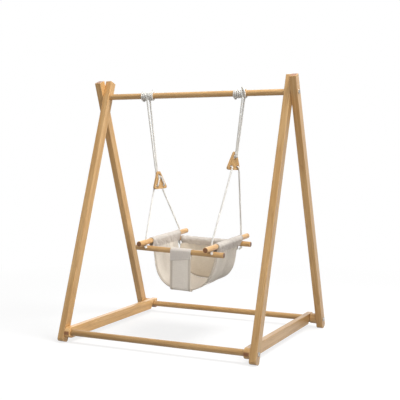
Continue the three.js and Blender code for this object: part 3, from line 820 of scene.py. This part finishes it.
def build_knots(word, side, material):
    """One knot at the front of the front dowel, one below the rear dowel."""
    x = side * SIDE_DOWEL_SPACING / 2
    y = CROSS_DOWEL_SPACING / 2
    half = KNOT_DIAMETER / 2
    reach = SEAT_DOWEL / 2 + KNOT_SEAT_GAP + half
    aside = math.sin(KNOT_TURN) * math.cos(KNOT_TILT)
    # The rope leaves the front dowel askew, so its knot sits a little farther out
    exit_turn = Matrix.Rotation(KNOT_TURN, 4, "Z") @ Matrix.Rotation(-KNOT_TILT, 4, "X")
    front = Vector((x, -y, -DOWEL_DROP)) + exit_turn @ Vector((0, -reach / math.sqrt(1 - aside**2), 0))
    turn = exit_turn @ Matrix.Rotation(math.pi / 2, 4, "Z")
    tail = [(-1, 0, 0), (-half, 1, -1), (-half - 5, 2, -4)]
    pieces = make_knot(f"front_knot_{word}", f"rope_knot_front_{word}", front, turn, tail, material)
    rear = (x, y, -DOWEL_DROP - reach)
    down = Matrix.Rotation(-math.pi / 2, 4, "Y")
    tail = REAR_TAILS[word]
    return pieces + make_knot(f"rear_knot_{word}", f"rope_knot_rear_{word}", rear, down, tail, material)


# The canvas seat, drawn in the seat's own frame


def smooth_step(value, low, high):
    share = np.clip((value - low) / (high - low), 0, 1)
    return share * share * (3 - 2 * share)


def wall_point(share, t):
    """Across and down as shares, from the side sleeve at t = 0 to the middle line at t = 1."""
    (ax, ay), (bx, by) = [
        [a + (b - a) * share for a, b in zip(front, rear)] for front, rear in zip(WALL_FRONT, WALL_REAR)
    ]
    rest = 1 - t
    across = rest**3 + 3 * rest**2 * t * ax + 3 * rest * t**2 * bx
    down = 3 * rest**2 * t * ay + 3 * rest * t**2 * by + t**3
    return across, down


def hang_wave(x):
    """How far the cloth below a dowel sways to the side, in two waves of different lengths."""
    return SLEEVE_WAVE * (math.sin(x * 0.11) + 0.4 * math.sin(x * 0.29 + 1))


def rear_edge(down):
    return BOWL_REAR + (BOWL_REAR_TOP - BOWL_REAR) * (1 - down) ** 1.5


def bowl_point(share, t, side, inset):
    """A point of the bowl: share from its front edge to its rear edge, t from a sleeve to the middle.

    side is -1 left and 1 right, and inset is how far the sheet lies inside the seat's outer size.
    """
    across, down = wall_point(share, t)
    depth = SEAT_DEPTH - inset
    front = BOWL_FRONT + (BOWL_LIP - BOWL_FRONT) * down
    y = front + (rear_edge(down) - front) * share
    below = smooth_step(down, *WALL_FOLD_START)
    swell = math.sin(down * math.pi) * below
    # Broad folds down the whole side, a ripple over them, and short folds high on the wall
    fold = BOWL_FOLD * math.sin(share * 5 * math.pi) * swell
    fold += BOWL_RIPPLE * math.sin(share * 17 + side * 1.3 + 4 * down) * swell
    fold += WALL_FOLD * math.sin(share * 29 + side * 0.9 - 5 * down) * below * (1 - down) ** 1.3
    drawn = (STRAP_SHIFT * (1 - share) + HANG_SLANT * depth * share) * down
    drawn -= hang_wave(y - SLEEVE_FRONT) * (1 - smooth_step(down, *WALL_SWAY_END))
    x = side * ((SIDE_DOWEL_SPACING / 2 - inset) * across + fold) + drawn
    return (x, y, -SEAT_TOP - depth * down)


def build_bowl(cloth, thread):
    rows, half = 72, 72
    shares = [i / rows for i in range(rows + 1)]
    columns = [(1 - abs(j) / half, -1 if j < 0 else 1) for j in range(-half, half + 1)]
    grid = seat_place([[bowl_point(share, t, side, BOWL_INSET) for t, side in columns] for share in shares])
    depth = np.array([[wall_point(share, t)[1] for t, _ in columns] for share in shares])
    hem = 1 - smooth_step(np.array(shares)[:, None] * np.ones((1, len(columns))), *BOWL_HEM)
    shade = BOWL_SHADE * smooth_step(depth, *BOWL_SHADE_DEPTH)
    bowl = shell("seat_bowl", grid, hem, cloth, inner=shade)
    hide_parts("canvas_bowl")
    lines = seam_lines(grid, BOWL_FRONT_SEAM, (0.0, 1.0), CLOTH + HEM_THICKNESS)
    for row in BOWL_REAR_SEAMS:
        lines += seam_lines(grid, row, (0.0, 1.0), CLOTH)
    for column in BOWL_TOP_SEAMS:
        lines += seam_lines(grid, (0.09, 0.95), column, CLOTH)
    stitches = stitch_rows("bowl_stitches", lines, thread)


def back_point(rise, across, side, ripple):
    """A point of the back: rise from the bowl up to its sleeve, across from the middle to an edge."""
    top = -DOWEL_DROP - SLEEVE_RADIUS - BACK_GAP
    edge_x, _, low = bowl_point(1, 1 - BACK_SHARE * across, side, BACK_INSET)
    z = low + (top - low) * rise
    down = (-SEAT_TOP - z) / SEAT_DEPTH
    edge = rear_edge(down) - BACK_INSET
    lean = (1 - down) / (1 + (top + SEAT_TOP) / SEAT_DEPTH)
    reach = (CROSS_DOWEL_SPACING / 2 - edge) * lean**2
    y = edge + reach * (1 - across**3) + ripple * math.sin(down * 3)
    return (edge_x * (1 - BACK_TAPER * rise) + HANG_SLANT * (low - z), y, z)


def build_back(cloth, thread):
    rows, half = 44, 48
    grid = []
    for i in range(rows + 1):
        row = []
        for j in range(-half, half + 1):
            ripple = BACK_RIPPLE * math.sin(j * BACK_RIPPLE_TURN)
            row.append(back_point(i / rows, abs(j) / half, -1 if j < 0 else 1, ripple))
        grid.append(row)
    grid = seat_place(grid)
    hem = (1 - smooth_step(np.arange(rows + 1) / rows, *BACK_HEM))[:, None] * np.ones((1, 2 * half + 1))
    back = shell("seat_back", grid, hem, cloth)
    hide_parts("canvas_back")
    lines = []
    for column in BACK_SIDE_SEAMS:
        lines += seam_lines(grid, (0.05, 0.97), column, CLOTH)
    for row in BACK_TOP_SEAMS:
        lines += seam_lines(grid, row, BACK_SIDE_SEAMS, CLOTH)
    stitches = stitch_rows("back_stitches", lines, thread)


def channel_section(tip, draw):
    """A loop of cloth over a dowel, its two layers meeting below at a tip drawn to one side."""
    meet = Vector((draw, -tip))
    lean = math.acos(SLEEVE_RADIUS / meet.length)
    first = math.atan2(meet.y, meet.x) - lean
    points = [(0, draw - SLEEVE_LAYERS / 2, -tip - SLEEVE_SEAM)]
    steps = 40
    for k in range(steps + 1):
        angle = first - (2 * math.pi - 2 * lean) * k / steps
        points.append((0, SLEEVE_RADIUS * math.cos(angle), SLEEVE_RADIUS * math.sin(angle)))
    points.append((0, draw + SLEEVE_LAYERS / 2, -tip - SLEEVE_SEAM))
    return evenly(points, 2)[:, 1:]


def channel_point(x, k, y, z):
    """A point of a sleeve, gathered on its dowel and swaying and creased below it.

    k counts the points round the section, so that the gathers run askew.
    """
    gather = math.sin(x * 0.16 + k * 0.33) * (0.6 + 0.4 * math.sin(x * 0.045))
    gather += 0.5 * math.sin(x * 0.37 - k * 0.5)
    grow = 1 + SLEEVE_GATHER * max(gather, -1.1) / SLEEVE_RADIUS
    free = smooth_step(-z, SLEEVE_FREE, SLEEVE_TIP)
    bulge = 4 * free * (1 - free) * math.sin(x * 0.07 + 1.5)
    wave = free * hang_wave(x) + SLEEVE_CREASE * bulge * math.sin(x * 0.19 + z * 0.3)
    return Vector((x, y * grow + wave, z * grow))


def channel(name, node, dowel, length, section, place, cloth, thread):
    """A sleeve of cloth along x, placed in the seat's frame."""
    steps = int(length / 2)
    along = np.linspace(0, length, steps + 1)
    grid = seat_place([
        [tuple(place @ channel_point(x, k, y, z)) for k, (y, z) in enumerate(section)] for x in along
    ])
    edge = along[:, None] * np.ones((1, grid.shape[1]))
    hem = 1 - smooth_step(np.minimum(edge, length - edge), *SLEEVE_HEM)
    piece = shell(name, grid, hem, cloth, SLEEVE_CLOTH)
    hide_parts(node)
    lines = []
    for share in (SLEEVE_END_SEAM / length, 1 - SLEEVE_END_SEAM / length):
        lines += seam_lines(grid, share, (0.0, 1.0), SLEEVE_CLOTH + HEM_THICKNESS)
    for column in SLEEVE_TIP_SEAMS:
        lines += seam_lines(grid, (0.02, 0.98), column, SLEEVE_CLOTH)
    stitches = stitch_rows(f"{name}_stitches", lines, thread)


def build_sleeves(cloth, thread):
    length = SLEEVE_REAR - SLEEVE_FRONT
    for word, side in (("left", -1), ("right", 1)):
        start = Matrix.Translation((side * SIDE_DOWEL_SPACING / 2, SLEEVE_FRONT, 0))
        place = start @ Matrix.Rotation(math.pi / 2, 4, "Z")
        names = (f"side_sleeve_{word}", f"canvas_sleeve_{word}", f"seat_dowel_{word}")
        section = channel_section(SIDE_SLEEVE_TIP, side * SIDE_SLEEVE_DRAW)
        channel(*names, length, section, place, cloth, thread)
    place = Matrix.Translation((-BACK_SLEEVE_LENGTH / 2, CROSS_DOWEL_SPACING / 2, -DOWEL_DROP))
    names = ("back_sleeve", "canvas_sleeve_rear", "seat_dowel_rear")
    channel(*names, BACK_SLEEVE_LENGTH, channel_section(SLEEVE_TIP, 0), place, cloth, thread)


def strap_line():
    """The strap's line in y and z: from the bowl's lip forward, then up between its fold's layers."""
    y = -CROSS_DOWEL_SPACING / 2 - SLEEVE_RADIUS + STRAP_BEHIND
    low = -SEAT_TOP - SEAT_DEPTH + 1
    high = -DOWEL_DROP - SLEEVE_RADIUS
    points = [(BOWL_LIP + 6, low + 2), (y + STRAP_CURVE, low)]
    steps = 8
    for k in range(1, steps + 1):
        angle = math.pi / 2 * k / steps
        ahead = STRAP_CURVE * (1 - math.sin(angle))
        points.append((y + ahead, low + STRAP_CURVE * (1 - math.cos(angle))))
    points.append((y, high - 2))
    return evenly([(0, *point) for point in points], 3)[:, 1:]


def strap_width(z):
    high = -DOWEL_DROP - SLEEVE_RADIUS
    low = -SEAT_TOP - SEAT_DEPTH
    return STRAP_WIDTH * (1 + STRAP_FLARE * (high - z) / (high - low))


def strap_row(y, z, across):
    x = STRAP_SHIFT + across * strap_width(z) / 2
    bend = STRAP_BEND * (1 - across**2) * math.sin(min(max(-z / SEAT_DEPTH, 0), 1) * math.pi)
    return (x, y - bend, z)


def build_strap(cloth, thread):
    columns = np.linspace(-1, 1, 81)
    grid = seat_place([[strap_row(y, z, across) for across in columns] for y, z in strap_line()])
    hem = smooth_step(np.abs(columns), *STRAP_EDGE)[None, :] * np.ones((len(grid), 1))
    strap = shell("leg_strap", grid, hem, cloth)
    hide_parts("canvas_strap")
    lines = []
    for column in STRAP_INNER_SEAMS:
        lines += seam_lines(grid, (0.02, 0.98), column, CLOTH + HEM_THICKNESS / 2)
    for column in STRAP_OUTER_SEAMS:
        lines += seam_lines(grid, (0.02, 0.98), column, CLOTH + HEM_THICKNESS)
    stitch_rows("strap_stitches", lines, thread)


def build_strap_fold(cloth, thread):
    """The strap's end, turned over the front dowel and sewn down in front and behind."""
    columns = np.linspace(-1, 1, 61)
    y = -CROSS_DOWEL_SPACING / 2
    foot = -SLEEVE_RADIUS - STRAP_HEM
    front = -SLEEVE_RADIUS
    meet = Vector((front + 2 * STRAP_BEHIND, -SLEEVE_TIP))
    leave = math.atan2(meet.y, meet.x) + math.acos(SLEEVE_RADIUS / meet.length)
    fold = [(front, foot)]
    steps = 40
    for k in range(steps + 1):
        angle = math.pi + (leave - math.pi) * k / steps
        fold.append((SLEEVE_RADIUS * math.cos(angle), SLEEVE_RADIUS * math.sin(angle)))
    fold += [tuple(meet), (meet.x, foot)]
    line = evenly([(0, *point) for point in fold], 2)[:, 1:]
    grid = []
    for a, b in line:
        below = min(max((b + SLEEVE_RADIUS) / (foot + SLEEVE_RADIUS), 0), 1)
        drop = [STRAP_HEM_SKEW * below * across for across in columns]
        row = [strap_row(y + a, b - DOWEL_DROP + z, 1.01 * across) for z, across in zip(drop, columns)]
        grid.append(row)
    grid = seat_place(grid)
    loop = shell("strap_fold", grid, np.zeros(grid.shape[:2]), cloth, SLEEVE_CLOTH)
    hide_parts("canvas_sleeve_front")
    lines = []
    for row in FOLD_SEAMS:
        lines += seam_lines(grid, row, (0.01, 0.99), SLEEVE_CLOTH)
    stitch_rows("fold_stitches", lines, thread)


def build_seat():
    plain = canvas("seat_canvas", CANVAS_LIGHT, CANVAS_DARK)
    light = canvas("strap_canvas", STRAP_LIGHT, STRAP_DARK)
    lining = canvas("lining_canvas", LINING_LIGHT, LINING_DARK)
    doubled = canvas("sleeve_canvas", SLEEVE_LIGHT, SLEEVE_DARK)
    thread = sewing_thread()
    build_bowl(plain, thread)
    build_back(lining, thread)
    build_strap(light, thread)
    build_strap_fold(doubled, thread)
    build_sleeves(doubled, thread)


# The CAD nodes that stay


def paint(piece, material):
    piece.data.materials.clear()
    piece.data.materials.append(material)


def wood_of(name, seed):
    """The pine of one wooden node, its grain by the start of the node's name."""
    grain = next(direction for start, direction in PINE_GRAIN.items() if name.startswith(start))
    end_grain = DOWEL_END if name.startswith("seat_") else END_GRAIN
    return pine(f"pine_{name}", grain, seed, PINE_PAINTED_LIGHT.get(name, 1.0), end_grain)


def dress_nodes():
    """Wood or metal for the nodes; the soft ones, which the pieces above replace, need neither."""
    group = smooth_modifier()
    steel = metal()
    for count, (name, node) in enumerate(sorted(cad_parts.items())):
        if "_bolt_" in name:
            paint(node, steel)
        elif name.startswith(tuple(PINE_GRAIN)):
            paint(node, wood_of(name, count + 1))
        node.modifiers.new("smooth", "NODES").node_group = group


# Studio and camera


def glow(tree, strength):
    return add(tree, "ShaderNodeEmission", Color=(1, 1, 1, 1), Strength=strength).outputs[0]


def seen_ray(tree):
    """1 where the surface or the room is seen, in itself or in a reflection."""
    light = tree.nodes.new("ShaderNodeLightPath")
    seen = math_node(tree, "MAXIMUM", light.outputs["Is Camera Ray"], light.outputs["Is Glossy Ray"])
    return math_node(tree, "MAXIMUM", seen, light.outputs["Is Transmission Ray"])


def mix_shader(tree, factor, first, second):
    mix = tree.nodes.new("ShaderNodeMixShader")
    feed(tree, mix.inputs, (factor, first, second))
    return mix.outputs[0]


def build_floor():
    """A pale floor that shows white, keeps the object's shadow and fades into the white room."""
    bpy.ops.mesh.primitive_plane_add(size=FLOOR_SIZE)
    floor = bpy.context.object
    floor.name = "floor"
    material, tree, shader = new_material("pale_floor")
    set_inputs(tree, shader, {"Base Color": (*FLOOR_BOUNCE, 1), "Roughness": 1})
    plain = add(tree, "ShaderNodeBsdfDiffuse", Color=(FLOOR_SHADOW, FLOOR_SHADOW, FLOOR_SHADOW, 1))
    shaded = tree.nodes.new("ShaderNodeAddShader")
    feed(tree, shaded.inputs, (plain.outputs[0], glow(tree, FLOOR_LIFT)))
    place = add(tree, "ShaderNodeTexCoord")
    reach = tree.nodes.new("ShaderNodeVectorMath")
    reach.operation = "LENGTH"
    tree.links.new(place.outputs["Object"], reach.inputs[0])
    away = ramp(tree, reach.outputs["Value"], *FLOOR_FADE)
    shown = mix_shader(tree, away, shaded.outputs[0], glow(tree, 1.0))
    output = next(node for node in tree.nodes if node.type == "OUTPUT_MATERIAL")
    tree.links.new(mix_shader(tree, seen_ray(tree), shader.outputs[0], shown), output.inputs[0])
    paint(floor, material)


def build_room():
    world = bpy.data.worlds.new("studio")
    bpy.context.scene.world = world
    world.use_nodes = True
    tree = world.node_tree
    tree.nodes.clear()
    room = add(tree, "ShaderNodeBackground", Color=(1, 1, 1, 1), Strength=ROOM_LIGHT)
    white = add(tree, "ShaderNodeBackground", Color=(1, 1, 1, 1), Strength=1.0)
    output = tree.nodes.new("ShaderNodeOutputWorld")
    mixed = mix_shader(tree, seen_ray(tree), room.outputs[0], white.outputs[0])
    tree.links.new(mixed, output.inputs[0])


def add_light(name, place, target, size, power, spread=180):
    lamp = bpy.data.lights.new(name, "AREA")
    lamp.shape = "DISK"
    lamp.size = size
    lamp.energy = power
    lamp.spread = math.radians(spread)
    light = bpy.data.objects.new(name, lamp)
    light.location = place
    light.rotation_euler = (Vector(target) - Vector(place)).to_track_quat("-Z", "Y").to_euler()
    bpy.context.scene.collection.objects.link(light)


def build_lights():
    add_light("key", (1.0, -0.1, 3.0), (0, 0, 0.4), 1.4, 68)
    add_light("fill", (1.6, -3.2, 1.8), (0, 0, 0.5), 2.0, 25)
    add_light("side", (3.2, -0.6, 0.7), (0, 0, 0.4), 1.6, 14)
    add_light("seat_fill", (2.0, -1.9, 0.75), (0.03, -0.06, 0.33), 0.9, 0.62, 26)
    add_light("rear", (-1.8, 3.0, 1.8), (0, 0, 0.5), 2.0, 12)


def build_camera():
    data = bpy.data.cameras.new("camera")
    data.lens = CAMERA_LENS
    data.sensor_width = CAMERA_SENSOR
    data.shift_x, data.shift_y = CAMERA_SHIFT
    camera = bpy.data.objects.new("camera", data)
    camera.location = CAMERA_PLACE
    flat = math.cos(CAMERA_ELEVATION)
    look = Vector((
        -math.sin(CAMERA_AZIMUTH) * flat,
        math.cos(CAMERA_AZIMUTH) * flat,
        -math.sin(CAMERA_ELEVATION),
    ))
    camera.rotation_euler = look.to_track_quat("-Z", "Y").to_euler()
    bpy.context.scene.collection.objects.link(camera)
    bpy.context.scene.camera = camera


build_camera()
rope_cotton = cotton()
for rope_word, rope_side in (("left", -1), ("right", 1)):
    build_rope(rope_word, rope_side, rope_cotton)
build_seat()
dress_nodes()
build_floor()
build_room()
build_lights()
bpy.context.scene.view_settings.view_transform = "Standard"
